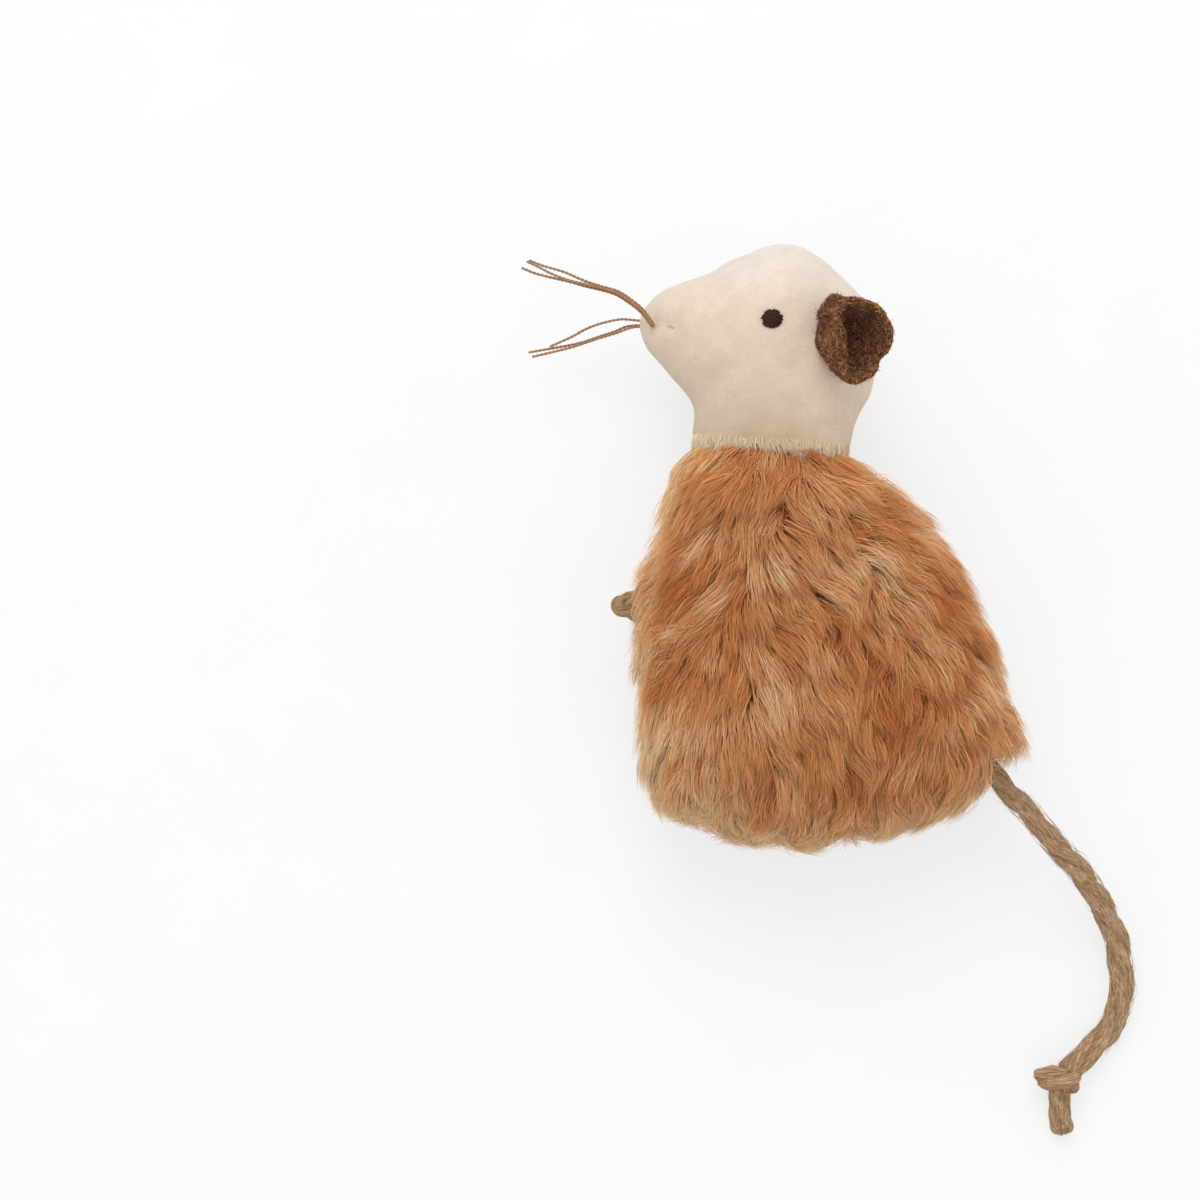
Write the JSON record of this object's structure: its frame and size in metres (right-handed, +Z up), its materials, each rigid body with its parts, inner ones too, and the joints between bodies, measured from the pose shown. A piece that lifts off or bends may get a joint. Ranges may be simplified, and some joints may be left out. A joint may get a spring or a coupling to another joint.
{
  "type": "catnip mouse",
  "caption": "Stuffed plush mouse toy for cats with a furry body, felt ears, thread whiskers, a knotted jute tail and a base pocket that holds a pull-out catnip sachet.",
  "frame": {"origin": "on the floor under the middle of the box of the toy without its tail cord", "axes": "+X from the nose side to the tail side, +Y from the base to the crown of the head, +Z up from the floor to the toy's left side"},
  "size_m": [0.1114, 0.1618, 0.041],
  "materials": {
    "plush": "short-pile cream plush",
    "fur": "long-pile orange-tan fake fur",
    "felt": "matted brown wool felt",
    "jute": "twisted natural jute",
    "whisker_thread": "waxed twisted thread",
    "eye_thread": "satin-stitched dark brown thread",
    "sewing_thread": "polyester sewing thread",
    "stuffing": "loose polyester fibre",
    "liner_cotton": "plain-woven cotton",
    "closure_nylon": "hook and loop tape",
    "sachet_web": "embossed white spunbond web",
    "catnip": "dried chopped herb"
  },
  "bodies": {
    "mouse": {"head_left_panel": "plush", "head_right_panel": "plush", "head_stuffing": "stuffing", "left_eye": "eye_thread", "right_eye": "eye_thread", "mouth_stitch": "eye_thread", "head_seam_thread": "sewing_thread", "neck_seam_thread": "sewing_thread", "whisker_anchor": "whisker_thread", "body_left_panel": "fur", "body_right_panel": "fur", "pocket_lip": "fur", "body_left_stuffing": "stuffing", "body_right_stuffing": "stuffing", "body_back_seam_thread": "sewing_thread", "body_front_seam_thread": "sewing_thread", "paw_loop": "jute", "tail_root": "jute", "pocket_liner": "liner_cotton", "loop_strip": "closure_nylon", "hook_strip": "closure_nylon"},
    "left_ear": {"left_ear": "felt"},
    "right_ear": {"right_ear": "felt"},
    "left_whiskers": {"left_whisker_1": "whisker_thread", "left_whisker_2": "whisker_thread", "left_whisker_3": "whisker_thread"},
    "right_whiskers": {"right_whisker_1": "whisker_thread", "right_whisker_2": "whisker_thread", "right_whisker_3": "whisker_thread"},
    "tail": {"tail_cord": "jute", "tail_knot": "jute", "tail_end": "jute"},
    "sachet": {"sachet_outer_web": "sachet_web", "sachet_inner_web": "sachet_web", "catnip_fill": "catnip"}
  },
  "joints": [
    {"name": "left_ear_fold", "type": "hinge", "parent": "mouse", "child": "left_ear", "pos_m": [0.0072, 0.0365, 0.0346], "axis": [0, -1, 0], "range_deg": [0, 50], "stiffness_Nm_per_rad": 0.0005},
    {"name": "right_ear_fold", "type": "hinge", "parent": "mouse", "child": "right_ear", "pos_m": [0.0107, 0.037, 0.0009], "axis": [0, 1, 0], "range_deg": [0, 50], "stiffness_Nm_per_rad": 0.0005},
    {"name": "left_whiskers_bend", "type": "hinge", "parent": "mouse", "child": "left_whiskers", "pos_m": [-0.0213, 0.0396, 0.024], "axis": [0, 0, 1], "range_deg": [-25, 25], "stiffness_Nm_per_rad": 0.0001},
    {"name": "right_whiskers_bend", "type": "hinge", "parent": "mouse", "child": "right_whiskers", "pos_m": [-0.0213, 0.0396, 0.0114], "axis": [0, 0, 1], "range_deg": [-25, 25], "stiffness_Nm_per_rad": 0.0001},
    {"name": "tail_swing", "type": "hinge", "parent": "mouse", "child": "tail", "pos_m": [0.043, -0.0445, 0.0179], "axis": [0, 0, 1], "range_deg": [-40, 40]},
    {"name": "sachet_slide", "type": "slide", "parent": "mouse", "child": "sachet", "axis": [0, -1, 0], "range_m": [0, 0.052], "deforming": ["pocket_lip", "hook_strip"]}
  ]
}
